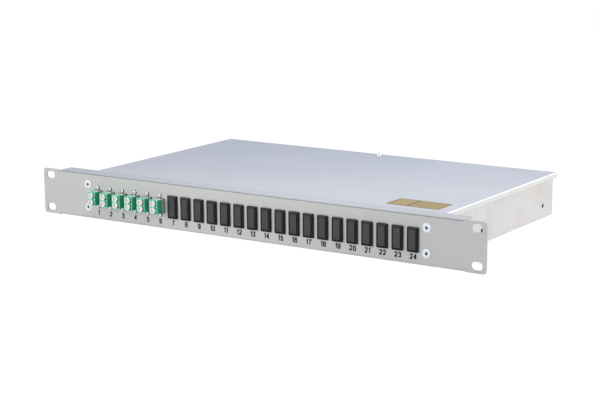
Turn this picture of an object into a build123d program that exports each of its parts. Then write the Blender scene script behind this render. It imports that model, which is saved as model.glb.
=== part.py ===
import os

from build123d import *

os.makedirs("parts", exist_ok=True)

# Millimetres. The origin is the middle of the panel's rear face, the face that bears on the rack
# rails. +X is to the right seen from the front, +Y runs into the rack and +Z is up.

# Front panel: a folded sheet with a flat ear at each end
panel_w = 482.6
panel_h = 44.2
panel_t = 1.5
ear_w = 21.55
ear_corner_r = 3.0
fold_step = 0.2             # the folded stretch is this much lower than the ears, top and bottom
fold_depth = 14.5           # from the rear face to the edge of each flange
bend_inner_r = 0.5
relief_w = 1.5
relief_h = 2.0

# Rack slots
rack_pitch_x = 465.1
rack_pitch_z = 31.75
slot_l = 10.4
slot_h = 7.2

# Ports
port_count = 24
port_pitch = 15.0
adapter_count = 6
port_w = 10.3
port_h = 13.7
port_screw_pitch = 18.0
port_screw_hole_r = 1.2

# Panel screws, M4 countersunk
panel_screw_x = 185.25
panel_screw_pitch_z = 22.2
screw_head_r = 4.2
screw_r = 2.0
screw_l = 10.0
screw_fit = 0.05            # running clearance around a screw or pin
weld_nut_w = 8.0
weld_nut_t = 3.2

# Tray and cover sheets
sheet_t = 1.0
box_w = 382.0
box_depth = 235.85          # from the panel's rear face to the outside of the rear wall
tray_bend_r = 2.5
floor_setback = 0.8         # the floor and the cover start clear of the panel's inner bends
tab_w = 12.0
tab_h = 34.0
lip_w = 8.0
lip_start = 18.0
side_hole_r = 2.15
side_hole_y = 88.5
side_hole_pitch = 125.0
side_hole_z = -7.8

cover_gap = 0.2             # between the cover and the panel's flange
cover_seat = 0.05           # between the cover and the tray's lips
cover_side_gap = 0.5
cover_flange_h = 4.8
cover_flange_start = 21.4
cover_overhang = 5.05       # finger lip behind the rear wall
cover_corner_r = 2.0
cover_relief = 2.0

# Cover screw, M3, in an open slot of the tray's rear tab
cover_screw_inset = 3.05    # from the outside of the rear wall
cover_screw_r = 1.5
cover_screw_head_r = 2.9
cover_screw_head_h = 2.0
cover_screw_l = 7.0
cover_nut_w = 6.0
cover_nut_t = 2.4
rear_tab_w = 30.0
rear_tab_l = 14.0
rear_notch_w = 10.0
rear_notch_h = 6.0

# Label
label_w = 52.5
label_l = 26.7
label_t = 0.15
label_x = 153.25
label_y = 42.65

# LC duplex adapter, standing on end
adapter_w = 9.3
adapter_h = 12.9
adapter_front = 12.25       # from the panel's rear face to the adapter's front
adapter_rear = 14.0
adapter_flange_t = 2.0
adapter_flange_h = 23.0
lc_pitch = 6.25
socket_w = 6.2
socket_h = 5.3
socket_wall_front = 0.75    # the wall between the front and rear sockets, before and behind y = 0
socket_wall_rear = 3.0
ferrule_tube_r = 1.6
ferrule_tube_l = 6.0
sleeve_r = 0.8
sleeve_bore_r = 0.63
sleeve_l = 11.4
sleeve_slit = 0.2
clip_t = 0.25
clip_front = 6.0
clip_w = 3.6
clip_h = 12.0

# Adapter screws, M2 pan head, and their nuts
small_screw_r = 1.0
small_head_r = 1.9
small_head_h = 1.2
small_screw_l = 6.6
small_nut_w = 4.0
small_nut_t = 1.6

# Dust cap
cap_r = 2.9
cap_l = 1.45
cap_recess_r = 2.0
cap_recess = 1.0
stem_r = 2.3
stem_l = 7.0
stem_bore = 4.0
stem_bore_r = 1.9

# Blanking plug
plug_w = 10.8
plug_h = 21.6
plug_z = -0.3               # the block sits a little low on its box
plug_rim = 1.6
plug_plateau_w = 6.4
plug_plateau_h = 17.4
plug_proud = 2.5
plug_corner_r = 0.8
plug_fit = 0.2
plug_wall = 1.2
plug_box_l = 7.5

# Splice cassette
cassette_w = 160.0
cassette_l = 110.0
cassette_h = 11.0
cassette_wall = 1.5
cassette_corner_r = 18.0
cassette_y = 140.0
cassette_lid_t = 1.5
mandrel_x = 50.0
mandrel_r = 24.0
mandrel_h = 7.0
cassette_gate_w = 12.0
comb_w = 40.0
comb_slots = 12
comb_slot_w = 2.9
comb_fin_t = 1.1
comb_fin_h = 4.5
comb_base_t = 1.2
stud_pitch_y = 90.0
stud_r = 2.0
stud_l = 7.0
stud_nut_w = 7.0
stud_nut_t = 3.0

# Fibre clips
clip_x = 150.0
clip_front_y = 62.0
clip_rear_y = 205.0
loop_r = 8.5
loop_wall = 1.2
loop_l = 8.0
loop_gap = 3.0
clip_foot = 18.0
clip_foot_t = 1.2

# Cable glands, M20
gland_x = 150.0
gland_z = 0.0
gland_thread_r = 10.0
gland_bore_r = 6.0
gland_hole_gap = 0.2
gland_flange_w = 24.0
gland_flange_t = 5.0
gland_inner_l = 9.0
gland_neck_r = 9.0
gland_neck_l = 10.0
seal_r = 8.0
seal_bore_r = 5.0
seal_l = 9.0
gland_fit = 0.1
nut_start = 6.0             # from the rear wall to the dome nut
nut_l = 14.0
locknut_w = 26.0
locknut_t = 4.5

# Rubber plugs in the spare cable entries
spare_x = 105.0
spare_flange_r = 12.5
spare_flange_t = 2.0

# Levels and faces worked out from the sizes above
port_x = [(n - (port_count - 1) / 2) * port_pitch for n in range(port_count)]
adapter_x = port_x[:adapter_count]
plug_x = port_x[adapter_count:]
fold_w = panel_w - 2 * ear_w
fold_top = panel_h / 2 - fold_step
inner_top = fold_top - panel_t
tray_z = -inner_top
floor_z = tray_z + sheet_t
cover_z = inner_top - cover_gap - sheet_t
wall_top = cover_z - cover_seat
cover_w = box_w + 2 * (cover_side_gap + sheet_t)
cover_rear = box_depth + cover_overhang
cover_screw_y = box_depth - cover_screw_inset
panel_screw_places = [
    (x, z)
    for x in (-panel_screw_x, panel_screw_x)
    for z in (-panel_screw_pitch_z / 2, panel_screw_pitch_z / 2)
]
adapter_screw_places = [
    (x, z) for x in adapter_x for z in (-port_screw_pitch / 2, port_screw_pitch / 2)
]
socket_places = [(x, z) for x in adapter_x for z in (lc_pitch / 2, -lc_pitch / 2)]
stud_places = [(0, cassette_y - stud_pitch_y / 2), (0, cassette_y + stud_pitch_y / 2)]
entry_x = [-gland_x, -spare_x, spare_x, gland_x]
panel_face = Plane.XZ.offset(panel_t)


def facing_front(y):
    """Plane at y whose local axes are X and Z; positive extrusion runs towards the front."""
    return Plane.XZ.offset(-y)


def save(part, name):
    part.label = name
    export_step(part, f"parts/{name}.step")


def cut_cross(face, places, span, arm, depth):
    """Cross recess in the screw heads of the part being built."""
    with BuildSketch(face) as cross:
        with Locations(*places):
            Rectangle(span, arm)
            Rectangle(arm, span)
    extrude(cross.sketch, amount=-depth, taper=12, mode=Mode.SUBTRACT)


# Front panel: a folded stretch between two flat ears
bend_outer_r = bend_inner_r + panel_t
with BuildPart() as front_panel:
    with BuildSketch(Plane.YZ.offset(-fold_w / 2)):
        with Locations(((fold_depth - panel_t) / 2, 0)):
            outer = Rectangle(fold_depth + panel_t, 2 * fold_top)
        fillet(outer.vertices().group_by(Axis.X)[0], bend_outer_r)
        with BuildSketch(mode=Mode.SUBTRACT):
            with Locations((fold_depth, 0)):
                inner = Rectangle(2 * fold_depth, 2 * inner_top)
            fillet(inner.vertices().group_by(Axis.X)[0], bend_inner_r)
    extrude(amount=fold_w)
    with BuildSketch(Plane.XZ):
        RectangleRounded(panel_w, panel_h, ear_corner_r)
        with Locations((0, panel_h / 2), (0, -panel_h / 2)):
            Rectangle(fold_w + 2 * relief_w, 2 * relief_h, mode=Mode.SUBTRACT)
    extrude(amount=panel_t)
    with BuildSketch(Plane.XZ):
        with GridLocations(rack_pitch_x, rack_pitch_z, 2, 2):
            SlotOverall(slot_l, slot_h)
        with GridLocations(port_pitch, 0, port_count, 1):
            Rectangle(port_w, port_h)
        with GridLocations(port_pitch, port_screw_pitch, port_count, 2):
            Circle(port_screw_hole_r)
    extrude(amount=panel_t, mode=Mode.SUBTRACT)
    with Locations(panel_face):
        with Locations(*panel_screw_places):
            CounterSinkHole(screw_r + 4 * screw_fit, screw_head_r + screw_fit, depth=panel_t)
save(front_panel.part, "front_panel")

# Panel screws: a countersunk head that reaches through the panel, and a plain shank
with BuildPart() as panel_screws:
    with BuildSketch(panel_face):
        with Locations(*panel_screw_places):
            Circle(screw_head_r)
    extrude(amount=-(screw_head_r - screw_r), taper=45)
    with BuildSketch(panel_face):
        with Locations(*panel_screw_places):
            Circle(screw_r)
    extrude(amount=-screw_l)
    cut_cross(panel_face, panel_screw_places, 1.05 * screw_head_r, 0.27 * screw_head_r, 0.8 * panel_t)
save(panel_screws.part, "panel_screws")

# Weld nuts behind the tray's front tabs
with BuildPart() as panel_nuts:
    with BuildSketch(facing_front(sheet_t)):
        with Locations(*panel_screw_places):
            Rectangle(weld_nut_w, weld_nut_w)
            Circle(screw_r + screw_fit, mode=Mode.SUBTRACT)
    extrude(amount=-weld_nut_t)
save(panel_nuts.part, "panel_nuts")

# Base tray: floor, side walls and rear wall, with front tabs, top lips and a slotted rear tab
with BuildPart() as base_tray:
    with BuildSketch(Plane.XY.offset(tray_z)):
        with Locations((0, box_depth / 2)):
            Rectangle(box_w, box_depth)
    extrude(amount=wall_top - tray_z)
    fillet(base_tray.edges().filter_by(Axis.Z).group_by(Axis.Y)[-1], sheet_t + 0.2)
    bottom = base_tray.faces().sort_by(Axis.Z)[0]
    fillet(bottom.edges().filter_by(lambda e: e.center().Y > 1), tray_bend_r)
    top = base_tray.faces().sort_by(Axis.Z)[-1]
    front = base_tray.faces().sort_by(Axis.Y)[0]
    offset(amount=-sheet_t, openings=[top, front])
    with BuildSketch(Plane.XY.offset(tray_z)):
        with Locations((0, 0)):
            Rectangle(box_w, 2 * floor_setback)
    extrude(amount=tray_bend_r + floor_setback, mode=Mode.SUBTRACT)
    with BuildSketch(facing_front(sheet_t)):
        for side in (-1, 1):
            with Locations((side * (box_w / 2 - tab_w / 2), 0)):
                Rectangle(tab_w, tab_h)
        with Locations(*panel_screw_places):
            Circle(screw_head_r - panel_t + 6 * screw_fit, mode=Mode.SUBTRACT)
    extrude(amount=sheet_t)
    with BuildSketch(Plane.XY.offset(wall_top - sheet_t)):
        for side in (-1, 1):
            with Locations((side * (box_w / 2 - lip_w / 2), (lip_start + box_depth - sheet_t) / 2)):
                Rectangle(lip_w, box_depth - sheet_t - lip_start)
        with Locations((0, box_depth - rear_tab_l / 2 - sheet_t / 2)):
            Rectangle(rear_tab_w, rear_tab_l - sheet_t)
    extrude(amount=sheet_t)
    with BuildSketch(Plane.XY.offset(wall_top)):
        with Locations((0, cover_screw_y)):
            Circle(cover_screw_r + 0.3)
        with Locations((0, cover_screw_y + box_depth / 8)):
            Rectangle(2 * cover_screw_r + 0.6, box_depth / 4)
    extrude(amount=-2 * sheet_t, mode=Mode.SUBTRACT)
    with BuildSketch(facing_front(box_depth + sheet_t)):
        with Locations((0, wall_top - rear_notch_h / 2 - sheet_t / 2)):
            Rectangle(rear_notch_w, rear_notch_h + sheet_t)
        with Locations(*[(x, gland_z) for x in entry_x]):
            Circle(gland_thread_r + gland_hole_gap)
    extrude(amount=2 * sheet_t + 0.6, mode=Mode.SUBTRACT)
    with BuildSketch(Plane.YZ.offset(-box_w / 2)):
        with Locations((side_hole_y, side_hole_z), (side_hole_y + side_hole_pitch, side_hole_z)):
            Circle(side_hole_r)
    extrude(amount=box_w, mode=Mode.SUBTRACT)
    with BuildSketch(Plane.XY.offset(tray_z)):
        with Locations(*stud_places):
            Circle(stud_r + screw_fit)
    extrude(amount=sheet_t, mode=Mode.SUBTRACT)
save(base_tray.part, "base_tray")

# Top cover: its front edge lies under the panel's flange and its side flanges start behind it
with BuildPart() as top_cover:
    with BuildSketch(Plane.XY.offset(cover_z)):
        with Locations((0, (floor_setback + cover_rear) / 2)):
            Rectangle(cover_w, cover_rear - floor_setback)
    extrude(amount=sheet_t)
    flange_l = cover_rear - cover_flange_start
    for side in (-1, 1):
        with BuildSketch(Plane.XY.offset(cover_z + sheet_t)):
            with Locations((side * (cover_w - sheet_t) / 2, cover_flange_start + flange_l / 2)):
                Rectangle(sheet_t, flange_l)
        extrude(amount=-cover_flange_h)
    with BuildSketch(Plane.XY.offset(cover_z)):
        for side in (-1, 1):
            with Locations((side * cover_w / 2, cover_flange_start - cover_relief / 4)):
                Rectangle(2 * cover_relief, cover_relief / 2)
        with Locations((0, cover_screw_y)):
            Circle(cover_screw_r + 2 * screw_fit)
    extrude(amount=sheet_t, mode=Mode.SUBTRACT)
    bends = top_cover.edges().filter_by(Axis.Y).filter_by(
        lambda e: e.length > flange_l / 2
        and abs(e.center().Z - cover_z - sheet_t) < 0.01
        and abs(abs(e.center().X) - cover_w / 2) < 0.01
    )
    fillet(bends, 0.9 * sheet_t)
    flange_corners = top_cover.edges().filter_by(Axis.X).filter_by(
        lambda e: abs(e.center().Y - cover_rear) < 0.01
        and abs(e.center().Z - cover_z - sheet_t + cover_flange_h) < 0.01
    )
    fillet(flange_corners, cover_corner_r)
save(top_cover.part, "top_cover")

# Cover screw and its nut, which hang from the cover through the tab's open slot
cover_top = cover_z + sheet_t
with BuildPart() as cover_screw:
    with BuildSketch(Plane.XY.offset(cover_top)):
        with Locations((0, cover_screw_y)):
            Circle(cover_screw_head_r)
    extrude(amount=cover_screw_head_h)
    fillet(cover_screw.edges().group_by(Axis.Z)[-1], 0.6 * cover_screw_head_h)
    with BuildSketch(Plane.XY.offset(cover_top)):
        with Locations((0, cover_screw_y)):
            Circle(cover_screw_r)
    extrude(amount=-cover_screw_l)
    head_top = Plane.XY.offset(cover_top + cover_screw_head_h)
    cut_cross(head_top, [(0, cover_screw_y)], 1.2 * cover_screw_head_r, 0.32 * cover_screw_head_r, 1.2)
save(cover_screw.part, "cover_screw")

with BuildPart() as cover_nut:
    with BuildSketch(Plane.XY.offset(wall_top - sheet_t - 2 * cover_seat)):
        with Locations((0, cover_screw_y)):
            Rectangle(cover_nut_w, cover_nut_w)
            Circle(cover_screw_r + screw_fit, mode=Mode.SUBTRACT)
    extrude(amount=-cover_nut_t)
save(cover_nut.part, "cover_nut")

# Sticker on the cover
with BuildPart() as cover_label:
    with BuildSketch(Plane.XY.offset(cover_top)):
        with Locations((label_x, label_y)):
            RectangleRounded(label_w, label_l, 1.5)
    extrude(amount=label_t)
save(cover_label.part, "cover_label")

# LC duplex adapter at x = 0: body through the panel, flange behind it, two sockets at each end
with BuildPart() as adapter:
    with BuildSketch(facing_front(-adapter_front)):
        RectangleRounded(adapter_w, adapter_h, 0.4)
    extrude(amount=-(adapter_front + adapter_rear))
    with BuildSketch(Plane.XZ):
        RectangleRounded(adapter_w, adapter_flange_h, 1.0)
        with Locations((0, port_screw_pitch / 2), (0, -port_screw_pitch / 2)):
            Circle(small_screw_r + 2 * screw_fit, mode=Mode.SUBTRACT)
    extrude(amount=-adapter_flange_t)
    for mouth, wall in ((-adapter_front, -socket_wall_front), (adapter_rear, socket_wall_rear)):
        with BuildSketch(facing_front(mouth)):
            with Locations((0, lc_pitch / 2), (0, -lc_pitch / 2)):
                Rectangle(socket_w, socket_h)
        extrude(amount=mouth - wall, mode=Mode.SUBTRACT)
    with BuildSketch(facing_front(-socket_wall_front - ferrule_tube_l)):
        with Locations((0, lc_pitch / 2), (0, -lc_pitch / 2)):
            Circle(ferrule_tube_r)
    extrude(amount=-(socket_wall_front + socket_wall_rear + 2 * ferrule_tube_l))
    with BuildSketch(facing_front(-adapter_front)):
        with Locations((0, lc_pitch / 2), (0, -lc_pitch / 2)):
            Circle(sleeve_r + screw_fit)
    extrude(amount=-(adapter_front + adapter_rear), mode=Mode.SUBTRACT)
for n, x in enumerate(adapter_x, start=1):
    save(adapter.part.moved(Location((x, 0, 0))), f"adapter_{n:02d}")

# Ceramic split sleeves in the ferrule tubes
sleeve_front = (socket_wall_rear - socket_wall_front - sleeve_l) / 2
with BuildPart() as adapter_sleeves:
    with BuildSketch(facing_front(sleeve_front)):
        with Locations(*socket_places):
            Circle(sleeve_r)
            Circle(sleeve_bore_r, mode=Mode.SUBTRACT)
        with Locations(*[(x, z + sleeve_r) for x, z in socket_places]):
            Rectangle(sleeve_slit, sleeve_r, mode=Mode.SUBTRACT)
    extrude(amount=-sleeve_l)
save(adapter_sleeves.part, "adapter_sleeves")

# Spring clips: thin sheet bent over the top and down both sides of each adapter
with BuildPart() as adapter_clips:
    with BuildSketch(facing_front(-clip_front)):
        with Locations(*[(x, adapter_h / 2 + clip_t - clip_h / 2) for x in adapter_x]):
            Rectangle(adapter_w + 2 * clip_t, clip_h)
        with Locations(*[(x, 0) for x in adapter_x]):
            Rectangle(adapter_w, adapter_h, mode=Mode.SUBTRACT)
    extrude(amount=-clip_w)
save(adapter_clips.part, "adapter_clips")

# Adapter screws and nuts
with BuildPart() as adapter_screws:
    with BuildSketch(panel_face):
        with Locations(*adapter_screw_places):
            Circle(small_head_r)
    extrude(amount=small_head_h)
    fillet(adapter_screws.edges().group_by(Axis.Y)[0], 0.6 * small_head_h)
    with BuildSketch(panel_face):
        with Locations(*adapter_screw_places):
            Circle(small_screw_r)
    extrude(amount=-small_screw_l)
    head_front = Plane.XZ.offset(panel_t + small_head_h)
    cut_cross(head_front, adapter_screw_places, 1.1 * small_head_r, 0.3 * small_head_r, 0.7)
save(adapter_screws.part, "adapter_screws")

with BuildPart() as adapter_nuts:
    with BuildSketch(facing_front(adapter_flange_t)):
        with Locations(*adapter_screw_places):
            RegularPolygon(small_nut_w / 2, 6, major_radius=False)
            Circle(small_screw_r + screw_fit, mode=Mode.SUBTRACT)
    extrude(amount=-small_nut_t)
save(adapter_nuts.part, "adapter_nuts")

# Dust cap on the axis x = z = 0: a cupped disc on the adapter's face and a hollow stem
with BuildPart() as dust_cap:
    with BuildSketch(facing_front(-adapter_front)):
        Circle(cap_r)
    extrude(amount=cap_l)
    fillet(dust_cap.edges().group_by(Axis.Y)[0], 0.2 * cap_l)
    with BuildSketch(facing_front(-adapter_front - cap_l)):
        Circle(cap_recess_r)
    extrude(amount=-cap_recess, mode=Mode.SUBTRACT)
    with BuildSketch(facing_front(-adapter_front)):
        Circle(stem_r)
    extrude(amount=-stem_l)
    with BuildSketch(facing_front(stem_l - adapter_front)):
        Circle(stem_bore_r)
    extrude(amount=stem_bore, mode=Mode.SUBTRACT)
for n, (x, z) in enumerate(socket_places, start=1):
    save(dust_cap.part.moved(Location((x, 0, z))), f"dust_cap_{n:02d}")

# Blanking plug at x = 0: a bevelled block over the cutout and the screw holes, and a hollow box
with BuildPart() as plug:
    with BuildSketch(panel_face):
        with Locations((0, plug_z)):
            RectangleRounded(plug_w, plug_h, plug_corner_r)
    extrude(amount=plug_rim)
    with BuildSketch(panel_face.offset(plug_rim)):
        with Locations((0, plug_z)):
            RectangleRounded(plug_w, plug_h, plug_corner_r)
    with BuildSketch(panel_face.offset(plug_proud)):
        with Locations((0, plug_z)):
            RectangleRounded(plug_plateau_w, plug_plateau_h, plug_corner_r)
    loft()
    with BuildSketch(panel_face):
        Rectangle(port_w - 2 * plug_fit, port_h - 2 * plug_fit)
        Rectangle(
            port_w - 2 * plug_fit - 2 * plug_wall,
            port_h - 2 * plug_fit - 2 * plug_wall,
            mode=Mode.SUBTRACT,
        )
    extrude(amount=-plug_box_l)
for n, x in enumerate(plug_x, start=adapter_count + 1):
    save(plug.part.moved(Location((x, 0, 0))), f"blanking_plug_{n:02d}")

# Splice cassette: a shallow tray with two winding rings and a gate at each front corner
with BuildPart() as splice_cassette:
    with BuildSketch(Plane.XY.offset(floor_z)):
        with Locations((0, cassette_y)):
            RectangleRounded(cassette_w, cassette_l, cassette_corner_r)
    extrude(amount=cassette_h)
    with BuildSketch(Plane.XY.offset(floor_z + cassette_wall)):
        with Locations((0, cassette_y)):
            RectangleRounded(
                cassette_w - 2 * cassette_wall,
                cassette_l - 2 * cassette_wall,
                cassette_corner_r - cassette_wall,
            )
    extrude(amount=cassette_h, mode=Mode.SUBTRACT)
    with BuildSketch(Plane.XY.offset(floor_z + cassette_wall)):
        with Locations((-mandrel_x, cassette_y), (mandrel_x, cassette_y)):
            Circle(mandrel_r)
            Circle(mandrel_r - cassette_wall, mode=Mode.SUBTRACT)
            Rectangle(2 * mandrel_r + 2, cassette_gate_w, mode=Mode.SUBTRACT)
    extrude(amount=mandrel_h)
    with BuildSketch(Plane.XY.offset(floor_z + cassette_wall)):
        for side in (-1, 1):
            with Locations((
                side * (cassette_w / 2 - cassette_corner_r - cassette_gate_w / 2),
                cassette_y - cassette_l / 2,
            )):
                Rectangle(cassette_gate_w, 4 * cassette_wall)
    extrude(amount=cassette_h, mode=Mode.SUBTRACT)
    with BuildSketch(Plane.XY.offset(floor_z)):
        with Locations(*stud_places):
            Circle(stud_r + screw_fit)
    extrude(amount=cassette_wall, mode=Mode.SUBTRACT)
save(splice_cassette.part, "splice_cassette")

with BuildPart() as cassette_lid:
    with BuildSketch(Plane.XY.offset(floor_z + cassette_h)):
        with Locations((0, cassette_y)):
            RectangleRounded(cassette_w, cassette_l, cassette_corner_r)
    extrude(amount=cassette_lid_t)
save(cassette_lid.part, "cassette_lid")

# Comb that holds the splice protectors between the winding rings
comb_l = comb_slots * comb_slot_w + (comb_slots + 1) * comb_fin_t
with BuildPart() as splice_comb:
    with BuildSketch(Plane.XY.offset(floor_z + cassette_wall)):
        with Locations((0, cassette_y)):
            Rectangle(comb_w, comb_l)
    extrude(amount=comb_base_t)
    with BuildSketch(Plane.XY.offset(floor_z + cassette_wall + comb_base_t)):
        with Locations((0, cassette_y)):
            with GridLocations(0, comb_slot_w + comb_fin_t, 1, comb_slots + 1):
                Rectangle(comb_w, comb_fin_t)
    extrude(amount=comb_fin_h)
save(splice_comb.part, "splice_comb")

# Studs pressed into the floor, and the nuts that hold the cassette
with BuildPart() as cassette_studs:
    with BuildSketch(Plane.XY.offset(tray_z)):
        with Locations(*stud_places):
            Circle(stud_r)
    extrude(amount=stud_l + sheet_t)
save(cassette_studs.part, "cassette_studs")

with BuildPart() as cassette_nuts:
    with BuildSketch(Plane.XY.offset(floor_z + cassette_wall)):
        with Locations(*stud_places):
            RegularPolygon(stud_nut_w / 2, 6, major_radius=False)
            Circle(stud_r + screw_fit, mode=Mode.SUBTRACT)
    extrude(amount=stud_nut_t)
save(cassette_nuts.part, "cassette_nuts")

# Fibre clips: an open loop on a square foot
clip_places = [(x, y) for x in (-clip_x, clip_x) for y in (clip_front_y, clip_rear_y)]
with BuildPart() as fibre_clips:
    with BuildSketch(Plane.XY.offset(floor_z)):
        with Locations(*clip_places):
            Rectangle(clip_foot, clip_foot)
    extrude(amount=clip_foot_t)
    for y in (clip_front_y, clip_rear_y):
        with BuildSketch(facing_front(y - loop_l / 2)):
            with Locations(*[(x, floor_z + clip_foot_t / 2 + loop_r) for x in (-clip_x, clip_x)]):
                Circle(loop_r)
                Circle(loop_r - loop_wall, mode=Mode.SUBTRACT)
            with Locations(*[(x, floor_z + clip_foot_t / 2 + 2 * loop_r) for x in (-clip_x, clip_x)]):
                Rectangle(loop_gap, 4 * loop_wall, mode=Mode.SUBTRACT)
        extrude(amount=-loop_l)
save(fibre_clips.part, "fibre_clips")

# Cable glands: threaded body through the rear wall, seal, locknut inside and dome nut outside
gland_places = [(-gland_x, gland_z), (gland_x, gland_z)]
inside_wall = box_depth - sheet_t
neck_end = box_depth + gland_flange_t + gland_neck_l
with BuildPart() as gland_bodies:
    with BuildSketch(facing_front(inside_wall - gland_inner_l)):
        with Locations(*gland_places):
            Circle(gland_thread_r)
    extrude(amount=-(gland_inner_l + sheet_t))
    with BuildSketch(facing_front(box_depth)):
        with Locations(*gland_places):
            RegularPolygon(gland_flange_w / 2, 6, major_radius=False)
    extrude(amount=-gland_flange_t)
    with BuildSketch(facing_front(box_depth)):
        with Locations(*gland_places):
            Circle(gland_neck_r)
    extrude(amount=-(gland_flange_t + gland_neck_l))
    with BuildSketch(facing_front(inside_wall - gland_inner_l)):
        with Locations(*gland_places):
            Circle(gland_bore_r)
    extrude(amount=-(neck_end - inside_wall + gland_inner_l), mode=Mode.SUBTRACT)
    with BuildSketch(facing_front(neck_end - seal_l)):
        with Locations(*gland_places):
            Circle(seal_r + gland_fit)
    extrude(amount=-seal_l, mode=Mode.SUBTRACT)
save(gland_bodies.part, "gland_bodies")

with BuildPart() as gland_seals:
    with BuildSketch(facing_front(neck_end - seal_l)):
        with Locations(*gland_places):
            Circle(seal_r)
            Circle(seal_bore_r, mode=Mode.SUBTRACT)
    extrude(amount=-seal_l)
save(gland_seals.part, "gland_seals")

with BuildPart() as gland_locknuts:
    with BuildSketch(facing_front(inside_wall)):
        with Locations(*gland_places):
            RegularPolygon(locknut_w / 2, 6, major_radius=False)
            Circle(gland_thread_r + gland_fit, mode=Mode.SUBTRACT)
    extrude(amount=locknut_t)
save(gland_locknuts.part, "gland_locknuts")

nut_y = box_depth + nut_start
for side, x in (("left", -gland_x), ("right", gland_x)):
    with BuildPart() as gland_nut:
        with BuildSketch(facing_front(nut_y)):
            with Locations((x, gland_z)):
                RegularPolygon(gland_flange_w / 2, 6, major_radius=False)
        extrude(amount=-nut_l)
        fillet(gland_nut.edges().group_by(Axis.Y)[-1], 2.0)
        with BuildSketch(facing_front(nut_y)):
            with Locations((x, gland_z)):
                Circle(gland_neck_r + gland_fit)
        extrude(amount=-(neck_end - nut_y + 0.3), mode=Mode.SUBTRACT)
        with BuildSketch(facing_front(nut_y)):
            with Locations((x, gland_z)):
                Circle(gland_bore_r)
        extrude(amount=-nut_l, mode=Mode.SUBTRACT)
    save(gland_nut.part, f"gland_nut_{side}")

# Rubber plugs in the spare cable entries
with BuildPart() as entry_plugs:
    spare_places = [(-spare_x, gland_z), (spare_x, gland_z)]
    for face, depth in ((box_depth, spare_flange_t), (inside_wall, -spare_flange_t)):
        with BuildSketch(facing_front(face)):
            with Locations(*spare_places):
                Circle(spare_flange_r)
        extrude(amount=-depth)
    with BuildSketch(facing_front(inside_wall)):
        with Locations(*spare_places):
            Circle(gland_thread_r + gland_hole_gap - gland_fit)
    extrude(amount=-sheet_t)
save(entry_plugs.part, "entry_plugs")
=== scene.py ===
import math

import bpy
from mathutils import Matrix, Vector


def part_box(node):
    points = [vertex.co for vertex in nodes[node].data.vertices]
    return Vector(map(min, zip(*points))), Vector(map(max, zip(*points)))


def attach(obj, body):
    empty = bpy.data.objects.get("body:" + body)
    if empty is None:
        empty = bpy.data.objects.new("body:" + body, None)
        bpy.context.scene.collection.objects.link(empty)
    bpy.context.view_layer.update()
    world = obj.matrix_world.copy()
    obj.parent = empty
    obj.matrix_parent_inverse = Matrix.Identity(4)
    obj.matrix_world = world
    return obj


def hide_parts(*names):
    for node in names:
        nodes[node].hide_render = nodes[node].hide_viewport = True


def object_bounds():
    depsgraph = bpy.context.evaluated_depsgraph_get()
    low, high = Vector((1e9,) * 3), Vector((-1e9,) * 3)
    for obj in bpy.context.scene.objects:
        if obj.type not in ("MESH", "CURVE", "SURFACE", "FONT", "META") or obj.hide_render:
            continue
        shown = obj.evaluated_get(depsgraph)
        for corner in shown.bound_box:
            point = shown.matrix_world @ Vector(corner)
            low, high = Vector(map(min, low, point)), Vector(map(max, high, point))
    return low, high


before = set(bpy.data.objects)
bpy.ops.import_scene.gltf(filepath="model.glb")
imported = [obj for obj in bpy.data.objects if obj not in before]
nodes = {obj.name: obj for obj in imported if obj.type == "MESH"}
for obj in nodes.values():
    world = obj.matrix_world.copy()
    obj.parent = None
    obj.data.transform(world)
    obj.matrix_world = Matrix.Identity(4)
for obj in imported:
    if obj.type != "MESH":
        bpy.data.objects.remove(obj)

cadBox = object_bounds()
mm = 0.001


class Socket:
    # one output of a node; arithmetic on it adds Math nodes
    def __init__(self, finish, output):
        self.finish = finish
        self.output = output

    def math(self, operation, *values):
        return self.finish.node("ShaderNodeMath", {"operation": operation}, dict(enumerate(values)))

    def __add__(self, other):
        return self.math("ADD", self, other)

    def __radd__(self, other):
        return self.math("ADD", other, self)

    def __sub__(self, other):
        return self.math("SUBTRACT", self, other)

    def __rsub__(self, other):
        return self.math("SUBTRACT", other, self)

    def __mul__(self, other):
        return self.math("MULTIPLY", self, other)

    def __rmul__(self, other):
        return self.math("MULTIPLY", other, self)

    def __gt__(self, other):
        return self.math("GREATER_THAN", self, other)

    def __lt__(self, other):
        return self.math("LESS_THAN", self, other)

    def __or__(self, other):
        return self.math("MAXIMUM", self, other)

    def __abs__(self):
        return self.math("ABSOLUTE", self)


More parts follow.
